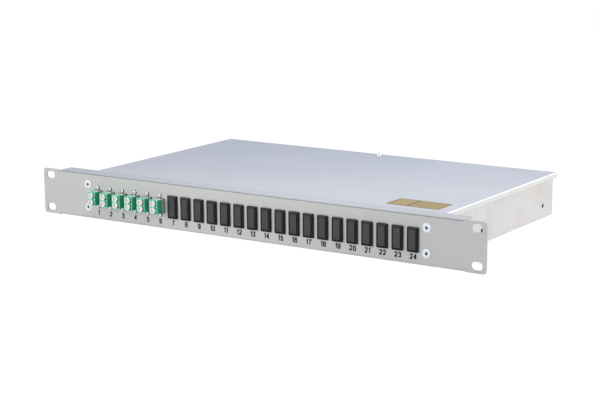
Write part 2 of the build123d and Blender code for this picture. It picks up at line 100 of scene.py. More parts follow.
class Finish:
    # a material, or the world, and the nodes that make it
    def __init__(self, name, world=False):
        self.data = bpy.data.worlds.new(name) if world else bpy.data.materials.new(name)
        self.data.use_nodes = True
        self.tree = self.data.node_tree
        self.shader = self.tree.nodes.get("Background" if world else "Principled BSDF")

    def node(self, kind, settings=None, sockets=None, output=0):
        made = self.tree.nodes.new(kind)
        for key, value in (settings or {}).items():
            setattr(made, key, value)
        self.feed(made, sockets or {})
        return Socket(self, made.outputs[output])

    def feed(self, made, sockets):
        for key, value in sockets.items():
            socket = made.inputs[key]
            if isinstance(value, Socket):
                self.tree.links.new(value.output, socket)
            elif socket.type == "RGBA" and len(value) == 3:
                socket.default_value = (*value, 1.0)
            else:
                socket.default_value = value

    def set(self, **sockets):
        self.feed(self.shader, {key.replace("_", " "): value for key, value in sockets.items()})

    def place(self):
        return self.node("ShaderNodeTexCoord", output=3)

    def axes(self):
        split = self.node("ShaderNodeSeparateXYZ", {}, {0: self.place()}).output.node
        return [Socket(self, split.outputs[i]) for i in range(3)]

    def noise(self, scale, detail=2.0, rough=0.5, stretch=None):
        vector = self.place()
        if stretch:
            vector = self.node("ShaderNodeMapping", {}, {"Vector": vector, "Scale": stretch})
        return self.node("ShaderNodeTexNoise", {}, {
            "Vector": vector, "Scale": scale, "Detail": detail, "Roughness": rough})

    def mix(self, factor, first, second):
        return self.node("ShaderNodeMix", {"data_type": "RGBA"}, {0: factor, 6: first, 7: second}, 2)

    def ramp(self, value, low, high, first, second):
        return self.node("ShaderNodeMapRange", {}, {0: value, 1: low, 2: high, 3: first, 4: second})

    def bump(self, height, distance, edge=0.0):
        # a fine relief, over edges that are rounded by the width given
        sockets = {"Strength": 1.0, "Distance": distance, "Height": height}
        if edge:
            sockets["Normal"] = self.node("ShaderNodeBevel", {"samples": 4}, {"Radius": edge})
        return self.node("ShaderNodeBump", {}, sockets)

    def raysSeen(self):
        # 1 where the camera, a reflection or a clear piece looks at the studio
        path = self.node("ShaderNodeLightPath").output.node
        rays = [Socket(self, path.outputs[n]) for n in ("Is Camera Ray", "Is Glossy Ray", "Is Transmission Ray")]
        return rays[0] | rays[1] | rays[2]


def shade(colour, amount):
    return tuple(min(1.0, c * amount) for c in colour)


def srgb(red, green, blue):
    # a colour written as 8-bit sRGB, in linear light
    return tuple(
        (v / 255 / 12.92 if v <= 10 else ((v / 255 + 0.055) / 1.055) ** 2.4) for v in (red, green, blue)
    )


panelLook = {
    "colour": srgb(189, 189, 188),
    "paintedTopReflection": srgb(186, 190, 199),
    "paintedTopReflectionRight": srgb(206, 208, 213),
    "bendLine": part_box("front_panel")[1].z - 1.15 * mm,
    "bendWidth": 0.65 * mm,
    "bendShade": 0.85,
    "bendFront": -0.7 * mm,
    "topFront": -1.3 * mm,
    "foldHalf": 219.3 * mm,
    "edge": 0.25 * mm,
}


def panelPaint():
    colour = panelLook["colour"]
    m = Finish("panelPaint")
    x, y, z = m.axes()
    cloud = m.noise(7.0, 3.0, 0.55)
    speck = m.noise(1300.0, 2.0, 0.6)
    tone = m.mix(m.ramp(cloud, 0.3, 0.7, 0.0, 1.0), shade(colour, 0.975), shade(colour, 1.025))
    tone = m.mix(m.ramp(speck, 0.35, 0.75, 0.0, 0.22), tone, shade(colour, 0.9))
    # painted reflection: the top flange is painted a bluish reflection of the light above, lighter towards the right
    onTop = (z > panelLook["bendLine"]) * (y > panelLook["topFront"])
    # painted light: the face is painted lighter around its middle
    tone = m.mix(m.ramp(abs(x + 0.04), 0.02, 0.21, 0.7, 0.0), tone, shade(colour, 1.1))
    topReflectionTone = m.mix(m.ramp(x, -0.2, 0.2, 0.0, 1.0), panelLook["paintedTopReflection"], panelLook["paintedTopReflectionRight"])
    tone = m.mix(onTop, tone, topReflectionTone)
    # painted shade: the face is painted darker towards the right
    tone = m.mix(m.ramp(x, 0.06, 0.2, 0.0, 0.55), tone, shade(colour, 0.9))
    # painted shade: a dark line is painted along the front of the top fold
    offBend = abs(z - panelLook["bendLine"])
    line = m.ramp(offBend, 0.0, panelLook["bendWidth"], panelLook["bendShade"], 0.0)
    line = line * (y < panelLook["bendFront"]) * (abs(x) < panelLook["foldHalf"])
    m.set(Base_Color=m.mix(line, tone, shade(colour, 0.2)), Metallic=0.0, Specular_IOR_Level=0.3)
    m.set(Roughness=m.ramp(cloud, 0.3, 0.7, 0.42, 0.5))
    m.set(Normal=m.bump(m.noise(650.0, 3.0, 0.55), 0.00004, panelLook["edge"]))
    return m.data


zincLook = {
    "metal": 0.12,
    "spangleScale": 330.0,
    "edge": 0.2 * mm,
}
trayLook = {
    "colour": srgb(205, 206, 208),
    "side": srgb(212, 210, 208),
    "stain": srgb(176, 160, 142),
    "streak": srgb(168, 154, 140),
    "streakTop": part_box("top_cover")[0].z,
    "streakLength": 7.0 * mm,
    "shadowLength": 0.7 * mm,
    "wall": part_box("base_tray")[1].x - 0.3 * mm,
}
coverLook = {
    "colour": srgb(207, 211, 219),
    "far": srgb(182, 188, 204),
    "flange": srgb(220, 219, 218),
    "bendHighlight": srgb(252, 252, 252),
    "bendWidth": 0.9 * mm,
    "flangeDepth": 0.5 * mm,
    "shadeBack": 3.2,
    "shadeLeft": 1.9,
    "top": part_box("top_cover")[1].z,
    "side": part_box("top_cover")[1].x,
}


def zincSheet(m, tone):
    # the fine spangle of zinc-coated sheet over a base tone, which may change over the piece
    spangle = m.node("ShaderNodeTexVoronoi", {"feature": "F1"}, {
        "Vector": m.place(), "Scale": zincLook["spangleScale"], "Randomness": 1.0}, 1)
    grey = m.node("ShaderNodeRGBToBW", {}, {0: spangle})
    grain = m.noise(900.0, 3.0, 0.65)
    cloud = m.noise(14.0, 4.0, 0.6)
    tone = m.mix(m.ramp(grey, 0.2, 0.8, 0.10, 0.0), tone, (0.40, 0.43, 0.50))
    tone = m.mix(m.ramp(cloud, 0.3, 0.75, 0.0, 0.16), tone, (0.86, 0.87, 0.89))
    tone = m.mix(m.ramp(grain, 0.35, 0.75, 0.0, 0.14), tone, (0.42, 0.44, 0.50))
    m.set(Base_Color=tone, Metallic=zincLook["metal"], Specular_IOR_Level=0.08)
    m.set(Roughness=m.ramp(grey, 0.0, 1.0, 0.34, 0.46) + (cloud - 0.5) * 0.08)
    m.set(Normal=m.bump(grain, 0.00003, zincLook["edge"]))
    return m.data


def traySheet():
    # the walls are warmer than the cover, with cloudy stains and short drips below the cover's flange, and a narrow
    # painted shadow line just under that flange in the drips' colour
    m = Finish("traySheet")
    x, _, z = m.axes()
    look = trayLook
    onWall = abs(x) > look["wall"]
    tone = m.mix(onWall, look["colour"], look["side"])
    stain = m.ramp(m.noise(26.0, 4.0, 0.65), 0.5, 0.78, 0.0, 0.34)
    tone = m.mix(stain * onWall, tone, look["stain"])
    drag = m.noise(260.0, 2.0, 0.55, (1.0, 1.0, 0.05))
    reach = m.ramp(m.noise(120.0, 1.0, 0.5, (1.0, 1.0, 0.0)), 0.35, 0.7, 0.25, 1.0)
    below = m.ramp(look["streakTop"] - z, 0.0, reach * look["streakLength"], 1.0, 0.0)
    streak = m.ramp(drag, 0.52, 0.66, 0.0, 0.6) * below * onWall
    # painted shadow: a narrow line just under the cover's flange is painted in the drips' colour
    shadow = m.ramp(look["streakTop"] - z, 0.0, look["shadowLength"], 0.25, 0.0)
    return zincSheet(m, m.mix(shadow | streak, tone, look["streak"]))


def coverSheet():
    # a wide sheet with painted shade that makes it a little darker and bluer away from the front, painted light on
    # its folded sides and a painted highlight along the top of each fold
    m = Finish("coverSheet")
    x, y, z = m.axes()
    look = coverLook
    # painted shade: the sheet is painted darker and bluer towards the rear and the left
    rearShade = m.ramp(y * look["shadeBack"] - x * look["shadeLeft"], 0.05, 0.85, 0.0, 1.0)
    tone = m.mix(rearShade, look["colour"], look["far"])
    # painted light: the outer faces of the folded sides are painted lighter and less blue
    tone = m.mix(abs(x) > look["side"] - look["flangeDepth"], tone, look["flange"])
    # painted highlight: a near-white strip is painted along the top of each side fold
    bendHighlightMask = (abs(x) > look["side"] - look["bendWidth"]) * (z > look["top"] - look["bendWidth"])
    return zincSheet(m, m.mix(bendHighlightMask, tone, look["bendHighlight"]))


def bareSteel(name, colour, rough=0.22, edge=0.0):
    m = Finish(name)
    scuff = m.noise(600.0, 3.0, 0.6)
    cloud = m.noise(90.0, 2.0, 0.5)
    tone = m.mix(scuff, shade(colour, 0.88), colour)
    m.set(Base_Color=m.mix(m.ramp(cloud, 0.4, 0.7, 0.0, 0.4), tone, shade(colour, 0.8)), Metallic=1.0)
    m.set(Roughness=m.ramp(scuff, 0.3, 0.7, rough, rough + 0.14))
    m.set(Normal=m.bump(scuff, 0.00002, edge))
    return m.data


def moulded(name, colour, rough=0.4, grain=1200.0, depth=0.00002, specular=0.5, variation=0.06, edge=0.0):
    m = Finish(name)
    cloud = m.noise(60.0, 3.0, 0.55)
    m.set(Base_Color=m.mix(cloud, shade(colour, 1 - variation), shade(colour, 1 + variation)))
    m.set(Roughness=m.ramp(cloud, 0.3, 0.7, rough - 0.04, rough + 0.06), Specular_IOR_Level=specular)
    m.set(Normal=m.bump(m.noise(grain, 2.0, 0.5), depth, edge))
    return m.data


def adapterBody(name, front, rear, fade):
    # painted light: the housing is painted paler towards its open end
    m = Finish(name)
    y = m.axes()[1]
    cloud = m.noise(300.0, 2.0, 0.5)
    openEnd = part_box("adapter_01")[0].y
    paintedEndLight = m.ramp(y, openEnd, openEnd + fade, 1.0, 0.0)
    tone = m.mix(paintedEndLight, rear, front)
    m.set(Base_Color=m.mix(m.ramp(cloud, 0.3, 0.7, 0.0, 0.12), tone, shade(rear, 0.7)))
    m.set(Roughness=m.ramp(cloud, 0.3, 0.7, 0.28, 0.36), Specular_IOR_Level=0.45)
    m.set(Normal=m.bump(m.noise(900.0, 2.0, 0.5), 0.00002))
    return m.data


def labelFilm():
    colour = srgb(158, 134, 54)
    m = Finish("labelFilm")
    cloud = m.noise(120.0, 2.0, 0.5)
    fleck = m.noise(2200.0, 2.0, 0.6)
    tone = m.mix(cloud, shade(colour, 0.95), shade(colour, 1.04))
    m.set(Base_Color=m.mix(m.ramp(fleck, 0.45, 0.7, 0.0, 0.25), tone, shade(colour, 0.8)), Roughness=0.38)
    m.set(Normal=m.bump(cloud, 0.00001))
    return m.data


def inkFinish(name, colour):
    m = Finish(name)
    speck = m.noise(4000.0, 2.0, 0.5)
    m.set(Base_Color=m.mix(speck, shade(colour, 0.7), shade(colour, 1.6)))
    m.set(Roughness=m.ramp(speck, 0.3, 0.7, 0.5, 0.6), Specular_IOR_Level=0.1)
    return m.data


def clearPlastic():
    m = Finish("clearPlastic")
    cloud = m.noise(40.0, 2.0, 0.5)
    m.set(Base_Color=(0.86, 0.89, 0.9), Alpha=0.45, Roughness=m.ramp(cloud, 0.3, 0.7, 0.1, 0.18))
    m.set(Normal=m.bump(cloud, 0.00005))
    return m.data


finishes = {
    "panel": panelPaint(),
    "traySheet": traySheet(),
    "coverSheet": coverSheet(),
    "steel": bareSteel("brightSteel", (0.66, 0.69, 0.74), 0.2),
    "recess": bareSteel("recessShadow", (0.035, 0.037, 0.042), 0.45),
    "flankShade": bareSteel("flankPaintedShade", (0.07, 0.08, 0.11), 0.3),
    "spring": bareSteel("springSteel", (0.60, 0.59, 0.53), 0.34, 0.1 * mm),
    "green": adapterBody("adapterGreen", srgb(52, 178, 140), srgb(34, 148, 106), 5 * mm),
    "greenLit": adapterBody("adapterGreenLit", srgb(128, 216, 194), srgb(84, 188, 158), 9 * mm),
    "plug": moulded("plugSatin", srgb(53, 52, 56), 0.45, 1400.0, 0.00003, 0.3),
    "plugBevelShade": moulded("plugBevelGlossShade", srgb(24, 24, 26), 0.3, 900.0, 0.00001, 0.12),
    "gland": moulded("glandNylon", srgb(44, 44, 47), 0.48, 900.0, 0.00004, 0.4, edge=0.3 * mm),
    "cassette": moulded("cassettePlastic", srgb(58, 60, 63), 0.5, 700.0, 0.00004, 0.35, edge=0.3 * mm),
    # painted reflection: the cap's white carries a faint green tint of the housing around it
    "capRim": moulded("capWhiteGreenReflection", srgb(238, 243, 234), 0.34, 1500.0, 0.00001, 0.35, 0.02),
    "capFloorShade": moulded("capRecessShade", srgb(226, 214, 202), 0.42, 1500.0, 0.00001, 0.3, 0.04),
    "white": moulded("whitePlastic", srgb(228, 229, 226), 0.42, 1000.0, 0.00003, edge=0.2 * mm),
    "ceramic": moulded("ceramic", srgb(246, 244, 238), 0.15),
    "rubber": moulded("rubber", srgb(34, 34, 35), 0.7, 500.0, 0.00006, 0.3),
    "label": labelFilm(),
    "labelInk": inkFinish("labelInk", srgb(78, 72, 60)),
    "ink": inkFinish("inkBlack", (0.009, 0.009, 0.010)),
    "clear": clearPlastic(),
}
print("finishes made:", len(finishes))

nodeFinish = {
    "front_panel": "panel",
    "base_tray": "traySheet",
    "top_cover": "coverSheet",
    "cover_label": "label",
    "adapter_clips": "spring",
    "adapter_sleeves": "ceramic",
    "splice_cassette": "cassette",
    "cassette_lid": "clear",
    "splice_comb": "white",
    "fibre_clips": "white",
    "gland_bodies": "gland",
    "gland_seals": "rubber",
    "gland_locknuts": "gland",
}
for name, node in nodes.items():
    node.data.materials.clear()
    node.data.materials.append(finishes[nodeFinish.get(name, "steel")])
print("construction nodes finished")


def deselectAll():
    if bpy.context.object and bpy.context.object.mode != "OBJECT":
        bpy.ops.object.mode_set(mode="OBJECT")
    bpy.ops.object.select_all(action="DESELECT")


def makeActive(piece):
    deselectAll()
    piece.select_set(True)
    bpy.context.view_layer.objects.active = piece


def applyPlace():
    bpy.ops.object.transform_apply(location=True, rotation=True, scale=True)


def block(name, low, high):
    # a cuboid between two corners, to start a piece from
    deselectAll()
    middle = (Vector(low) + Vector(high)) / 2
    bpy.ops.mesh.primitive_cube_add(size=1, location=middle, scale=Vector(high) - Vector(low))
    applyPlace()
    bpy.context.object.name = name
    return bpy.context.object


def rod(name, radius, start, end, x=0.0, z=0.0, sides=48):
    # a cylinder along Y, to start a turned piece from
    deselectAll()
    bpy.ops.mesh.primitive_cylinder_add(
        vertices=sides, radius=radius, depth=end - start,
        location=(x, (start + end) / 2, z), rotation=(math.radians(90), 0, 0))
    applyPlace()
    bpy.context.object.name = name
    return bpy.context.object


def pickFaces(piece, test):
    # leaves edit mode on, with the faces selected whose centre and normal pass the test
    makeActive(piece)
    bpy.ops.object.mode_set(mode="EDIT")
    bpy.ops.mesh.select_mode(type="FACE")
    bpy.ops.mesh.select_all(action="DESELECT")
    bpy.ops.object.mode_set(mode="OBJECT")
    for face in piece.data.polygons:
        face.select = bool(test(face.center, face.normal))
    bpy.ops.object.mode_set(mode="EDIT")


def pickEdges(piece, test):
    makeActive(piece)
    bpy.ops.object.mode_set(mode="EDIT")
    bpy.ops.mesh.select_mode(type="EDGE")
    bpy.ops.mesh.select_all(action="DESELECT")
    bpy.ops.object.mode_set(mode="OBJECT")
    points = piece.data.vertices
    for edge in piece.data.edges:
        edge.select = bool(test(points[edge.vertices[0]].co, points[edge.vertices[1]].co))
    bpy.ops.object.mode_set(mode="EDIT")


def push(x=0.0, y=0.0, z=0.0):
    bpy.ops.mesh.extrude_region_move(TRANSFORM_OT_translate={"value": (x, y, z)})


def spread(x, y, z, about):
    bpy.ops.transform.resize(value=(x, y, z), center_override=about)


def inset(width):
    bpy.ops.mesh.inset(thickness=width, use_even_offset=True)


def cutAcross(piece, axis, places):
    # cuts lines across the whole piece at places along one axis
    makeActive(piece)
    bpy.ops.object.mode_set(mode="EDIT")
    normal = [0.0, 0.0, 0.0]
    normal[axis] = 1.0
    for place in places:
        bpy.ops.mesh.select_all(action="SELECT")
        point = [0.0, 0.0, 0.0]
        point[axis] = place
        bpy.ops.mesh.bisect(plane_co=point, plane_no=normal)


def roundRim(piece, y, width, segments=3):
    pickEdges(piece, lambda a, b: abs(a.y - y) < 0.01 * mm and abs(b.y - y) < 0.01 * mm)
    bpy.ops.mesh.bevel(offset=width, segments=segments, affect="EDGES")


def carve(piece, cutter):
    # cuts the cutter's shape out of the piece; the new faces take the cutter's slot
    makeActive(piece)
    boolean = piece.modifiers.new("carve", "BOOLEAN")
    boolean.operation = "DIFFERENCE"
    boolean.object = cutter
    bpy.ops.object.modifier_apply(modifier=boolean.name)
    bpy.data.objects.remove(cutter)


def soften(piece, width, segments=2, angle=30):
    # rounds the sharp edges and shades the faces between them flat
    makeActive(piece)
    if width:
        bevel = piece.modifiers.new("bevel", "BEVEL")
        bevel.width = width
        bevel.segments = segments
        bevel.limit_method = "ANGLE"
        bevel.angle_limit = math.radians(angle)
        bpy.ops.object.modifier_apply(modifier=bevel.name)
    bpy.ops.object.shade_smooth_by_angle(angle=math.radians(50))
    weighted = piece.modifiers.new("weighted", "WEIGHTED_NORMAL")
    weighted.keep_sharp = True
    bpy.ops.object.modifier_apply(modifier=weighted.name)


def dress(piece, *keys):
    piece.data.materials.clear()
    for key in keys:
        piece.data.materials.append(finishes[key])


def recolour(piece, slotNumber, test):
    deselectAll()
    for face in piece.data.polygons:
        if test(face.center, face.normal):
            face.material_index = slotNumber


def copyTo(piece, name, move):
    made = piece.copy()
    made.data = piece.data.copy()
    bpy.context.scene.collection.objects.link(made)
    made.data.transform(Matrix.Translation(move))
    made.name = name
    return made


def joined(name, pieces):
    deselectAll()
    for piece in pieces:
        piece.select_set(True)
    bpy.context.view_layer.objects.active = pieces[0]
    if len(pieces) > 1:
        bpy.ops.object.join()
    bpy.context.object.name = name
    return bpy.context.object


def drop(piece):
    bpy.data.objects.remove(piece)


def give(piece, body, slotName, *replaced):
    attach(piece, body)
    if replaced:
        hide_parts(*replaced)


portPitch = (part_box("blanking_plug_24")[0].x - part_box("blanking_plug_07")[0].x) / 17
portX = [(n - 11.5) * portPitch for n in range(24)]
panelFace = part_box("panel_screws")[0].y

plugShape = {
    "halfWidth": 5.4 * mm,
    "halfHeight": 10.8 * mm,
    "middle": -0.3 * mm,
    "rim": 1.6 * mm,
    "rise": 0.9 * mm,
    "plateau": (6.4 / 10.8, 17.4 / 21.6),
    "corner": 0.8 * mm,
    "boxHalfWidth": 4.95 * mm,
    "boxHalfHeight": 6.65 * mm,
    "boxLength": 7.5 * mm,
    "wall": 1.2 * mm,
    "soft": 0.16 * mm,
}


def blankingPlug():
    s = plugShape
    rimFront = panelFace - s["rim"]
    low, high = s["middle"] - s["halfHeight"], s["middle"] + s["halfHeight"]
    plug = block("plug", (-s["halfWidth"], rimFront, low), (s["halfWidth"], panelFace, high))
    pickEdges(plug, lambda a, b: abs(a.y - b.y) > 0.5 * s["rim"])
    bpy.ops.mesh.bevel(offset=s["corner"], segments=4, affect="EDGES")
    pickFaces(plug, lambda c, n: n.y < -0.9)
    push(y=-s["rise"])
    spread(s["plateau"][0], 1, s["plateau"][1], (0, rimFront, s["middle"]))
    pickFaces(plug, lambda c, n: n.y > 0.9)
    edge = s["halfWidth"] - s["boxHalfWidth"]
    inset(edge)
    bpy.ops.transform.translate(value=(0, 0, -s["middle"]))
    spread(1, 1, s["boxHalfHeight"] / (s["halfHeight"] - edge), (0, panelFace, 0))
    push(y=s["boxLength"])
    inset(s["wall"])
    push(y=-0.9 * s["boxLength"])
    dress(plug, "plug", "plugBevelShade")
    # painted shade: the bevels round the plateau take a darker, glossier copy of the plug's black
    recolour(plug, 1, lambda c, n: c.y < panelFace and n.y > -0.98)
    soften(plug, s["soft"])
    return plug


plug = blankingPlug()
for n in range(6, 24):
    name = "blanking_plug_%02d" % (n + 1)
    give(copyTo(plug, "port_plug_%02d" % (n + 1), (portX[n], 0, 0)), name, "black_plastic", name)
drop(plug)
print("blanking plugs placed")

adapterShape = {
    "halfWidth": 4.65 * mm,
    "halfHeight": 6.45 * mm,
    "flangeHalf": 11.5 * mm,
    "flangeDepth": 2.0 * mm,
    "socketLeft": -3.1 * mm,
    "socketRight": 3.8 * mm,
    "socketHalfHeight": 2.65 * mm,
    "socketPitch": 6.25 * mm,
    "keyway": 2.1 * mm,
    "keyDepth": 1.0 * mm,
    "keyShift": -0.4 * mm,
    "frontWall": -0.75 * mm,
    "rearWall": 3.0 * mm,
    "tubeRadius": 1.6 * mm,
    "tubeBore": 0.85 * mm,
    "tubeLength": 6.0 * mm,
    "panelInset": 0.9 * mm,
    "panelSink": 0.22 * mm,
    "soft": 0.14 * mm,
    "mouthSink": 0.3 * mm,
    "near": 0.1 * mm,
}


def adapterHousing():
    s = adapterShape
    front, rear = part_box("adapter_01")[0].y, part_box("adapter_01")[1].y
    half = s["socketPitch"] / 2
    low, high = half - s["socketHalfHeight"], half + s["socketHalfHeight"]
    wide, tall = s["halfWidth"], s["halfHeight"]
    body = block("adapter", (-wide, front, -tall), (wide, rear, tall))
    cutAcross(body, 0, [s["socketLeft"], s["keyway"], s["socketRight"]])
    cutAcross(body, 2, [-high, -half + s["keyShift"], -low, low, half + s["keyShift"], high])
    cutAcross(body, 1, [0.0, s["flangeDepth"]])
    for side in (-1, 1):
        pickFaces(body, lambda c, n: n.z * side > 0.9 and 0 < c.y < s["flangeDepth"])
        push(z=side * (s["flangeHalf"] - s["halfHeight"]))

    def inSocket(c):
        return s["socketLeft"] < c.x < s["socketRight"] and low < abs(c.z) < high

    def inKey(c):
        part = c.z - (half if c.z > 0 else -half)
        return c.x > s["keyway"] and part > s["keyShift"]

    pickFaces(body, lambda c, n: n.y < -0.9 and c.y < front + s["near"] and inSocket(c))
    push(y=s["keyDepth"])
    pickFaces(body, lambda c, n: n.y < -0.9 and front + s["near"] < c.y < 0 and inSocket(c) and not inKey(c))
    push(y=s["frontWall"] - front - s["keyDepth"])
    pickFaces(body, lambda c, n: n.y > 0.9 and c.y > rear - s["near"] and inSocket(c))
    push(y=s["rearWall"] - rear)
    for side in (-1, 1):
        pickFaces(body, lambda c, n: n.x * side > 0.9 and abs(c.x) > s["halfWidth"] - s["near"] and c.y < 0)
        inset(s["panelInset"])
        bpy.ops.transform.translate(value=(-side * s["panelSink"], 0, 0))
    dress(body, "green", "greenLit")
    # painted light: the front and top faces take a lighter copy of the green
    recolour(body, 1, lambda c, n: n.y < -0.9 and c.y < front + s["near"])
    recolour(body, 1, lambda c, n: n.z > 0.9 and c.y < 0 and c.z > s["halfHeight"] - s["near"])
    soften(body, s["soft"])
    return body


def ferruleTube(start, end):
    # a short tube with a countersunk mouth at its free end
    s = adapterShape
    tube = rod("tube", s["tubeRadius"], min(start, end), max(start, end), sides=32)
    facing = -1 if end < start else 1
    pickFaces(tube, lambda c, n: n.y * facing > 0.9)
    inset(0.3 * (s["tubeRadius"] - s["tubeBore"]))
    inset(0.7 * (s["tubeRadius"] - s["tubeBore"]))
    bpy.ops.transform.translate(value=(0, -facing * s["mouthSink"], 0))
    push(y=-facing * 0.95 * s["tubeLength"])
    dress(tube, "green")
    soften(tube, 0)
    return tube


def fullAdapter():
    s = adapterShape
    frontTube = ferruleTube(s["frontWall"], s["frontWall"] - s["tubeLength"])
    rearTube = ferruleTube(s["rearWall"], s["rearWall"] + s["tubeLength"])
    parts = [adapterHousing()]
    for z in (-s["socketPitch"] / 2, s["socketPitch"] / 2):
        parts += [copyTo(frontTube, "tube", (0, 0, z)), copyTo(rearTube, "tube", (0, 0, z))]
    drop(frontTube)
    drop(rearTube)
    return joined("adapter", parts)


adapter = fullAdapter()
for n in range(6):
    name = "adapter_%02d" % (n + 1)
    give(copyTo(adapter, "lc_" + name, (portX[n], 0, 0)), "box", "green_plastic", name)
drop(adapter)
print("adapters placed")

capShape = {
    "radius": 2.75 * mm,
    "recess": 0.75 * mm,
    "recessDepth": 0.95 * mm,
    "nubRadius": 0.55 * mm,
    "nubRise": 0.12 * mm,
    "stemStep": 0.45 * mm,
    "stemLength": 7.0 * mm,
    "stemWall": 0.4 * mm,
    "stemBore": 4.0 * mm,
    "soft": 0.13 * mm,
}


def dustCap():
    s = capShape
    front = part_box("dust_cap_01")[0].y
    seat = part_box("adapter_01")[0].y
    cap = rod("cap", s["radius"], front, seat)
    pickFaces(cap, lambda c, n: n.y < -0.9)
    inset(s["recess"])
    push(y=s["recessDepth"])
    inset(s["radius"] - s["recess"] - s["nubRadius"])
    push(y=-s["nubRise"])
    pickFaces(cap, lambda c, n: n.y > 0.9 and c.y > seat - 0.1 * mm)
    inset(s["stemStep"])
    push(y=s["stemLength"])
    inset(s["stemWall"])
    push(y=-s["stemBore"])
    dress(cap, "capRim", "capFloorShade")
    inner = s["radius"] - s["recess"] + 0.01 * mm
    # painted shade: the recess floor and its walls take a darker beige copy of the cap's white
    recolour(cap, 1, lambda c, n: c.y < seat and Vector((c.x, c.z)).length < inner and n.y < 0.5)
    soften(cap, s["soft"])
    return cap


cap = dustCap()
for n in range(12):
    name = "dust_cap_%02d" % (n + 1)
    z = adapterShape["socketPitch"] / 2 * (1 if n % 2 == 0 else -1)
    give(copyTo(cap, "port_cap_%02d" % (n + 1), (portX[n // 2], 0, z)), name, "cream_plastic", name)
drop(cap)
print("dust caps placed")


def crossCutter(top, depth, span, arm):
    # a tapered cross with a wider middle, which stands clear in front of the head
    parts = []
    for wide, high in ((span, arm), (arm, span)):
        part = block("arm", (-wide / 2, top - 0.5 * mm, -high / 2), (wide / 2, top + depth, high / 2))
        pickFaces(part, lambda c, n: n.y > 0.9)
        spread(0.45, 1, 0.45, (0, top + depth, 0))
        parts.append(part)
    middle = rod("middle", 0.78 * arm, top - 0.5 * mm, top + 0.8 * depth, sides=24)
    pickFaces(middle, lambda c, n: n.y > 0.9)
    spread(0.6, 1, 0.6, (0, top + 0.8 * depth, 0))
    # painted shade: every face the cross cuts takes the near-black recess finish
    for part in parts:
        dress(part, "steel", "recess")
        recolour(part, 1, lambda c, n: True)
    dress(middle, "steel", "recess")
    recolour(middle, 1, lambda c, n: True)
    return parts + [middle]


def screw(shape):
    # a screw along Y with its head to the front and the seat of its head at y = 0
    s = shape
    head = rod("screw", s["headRadius"], -s["headHeight"], 0.0)
    if s.get("cone"):
        pickFaces(head, lambda c, n: n.y > 0.9)
        push(y=s["cone"])
        spread(s["radius"] / s["headRadius"], 1, s["radius"] / s["headRadius"], (0, s["cone"], 0))
    else:
        pickFaces(head, lambda c, n: n.y > 0.9)
        inset(s["headRadius"] - s["radius"])
    push(y=s["length"] - s.get("cone", 0.0))
    inset(0.2 * s["radius"])
    bpy.ops.transform.translate(value=(0, 0.2 * s["radius"], 0))
    roundRim(head, -s["headHeight"], s["crown"], 5)
    dress(head, "steel", "recess", "flankShade")
    # painted shade: the head's steep side faces are painted dark, which draws a dark ring round the head
    recolour(head, 2, lambda c, n: c.y < 0 and abs(n.y) < s["shadeUpTo"])
    for cutter in crossCutter(-s["headHeight"], s["crossDepth"], s["crossSpan"], s["crossArm"]):
        carve(head, cutter)
    soften(head, 0)
    return head


panelScrew = {
    "headRadius": 4.15 * mm, "headHeight": 0.4 * mm, "crown": 0.36 * mm, "radius": 2.0 * mm, "length": 10.0 * mm,
    "cone": 2.1 * mm, "crossSpan": 3.5 * mm, "crossArm": 1.2 * mm, "crossDepth": 1.6 * mm, "shadeUpTo": -1,
}
portScrew = {
    "headRadius": 1.9 * mm, "headHeight": 1.2 * mm, "crown": 0.8 * mm, "radius": 1.0 * mm, "length": 6.6 * mm,
    "crossSpan": 1.7 * mm, "crossArm": 0.55 * mm, "crossDepth": 0.8 * mm, "shadeUpTo": 0.8,
}
coverScrew = {
    "headRadius": 2.9 * mm, "headHeight": 2.0 * mm, "crown": 1.2 * mm, "radius": 1.5 * mm, "length": 7.0 * mm,
    "crossSpan": 3.3 * mm, "crossArm": 0.9 * mm, "crossDepth": 1.3 * mm, "shadeUpTo": -1,
}


def screwSet(name, shape, places):
    first = screw(shape)
    made = joined(name, [copyTo(first, name, place) for place in places])
    drop(first)
    return made


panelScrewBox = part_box("panel_screws")
headEdge = 4.2 * mm  # from a construction head's edge to its axis
outX = panelScrewBox[1].x - headEdge
outZ = panelScrewBox[1].z - headEdge
corners = [(x, panelFace, z) for x in (-outX, outX) for z in (-outZ, outZ)]
give(screwSet("panel_screw_set", panelScrew, corners), "box", "bright_steel", "panel_screws")

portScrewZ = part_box("adapter_screws")[1].z - portScrew["headRadius"]
ports = [(x, panelFace, z) for x in portX[:6] for z in (-portScrewZ, portScrewZ)]
give(screwSet("port_screw_set", portScrew, ports), "box", "bright_steel", "adapter_screws")

lidScrew = screw(coverScrew)
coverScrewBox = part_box("cover_screw")
standing = Matrix.Rotation(math.radians(-90), 4, "X")
seatPlace = (0, (coverScrewBox[0].y + coverScrewBox[1].y) / 2, coverScrewBox[1].z - coverScrew["headHeight"])
lidScrew.data.transform(Matrix.Translation(seatPlace) @ standing)
lidScrew.name = "lid_screw"
give(lidScrew, "cover", "bright_steel", "cover_screw")
print("screws placed")

numberRow = {
    "base": -17.6 * mm,
    "height": 5.0 * mm,
    "stroke": 1.15 * mm,
    "gap": 1.5 * mm,
    "thick": 0.04 * mm,
}
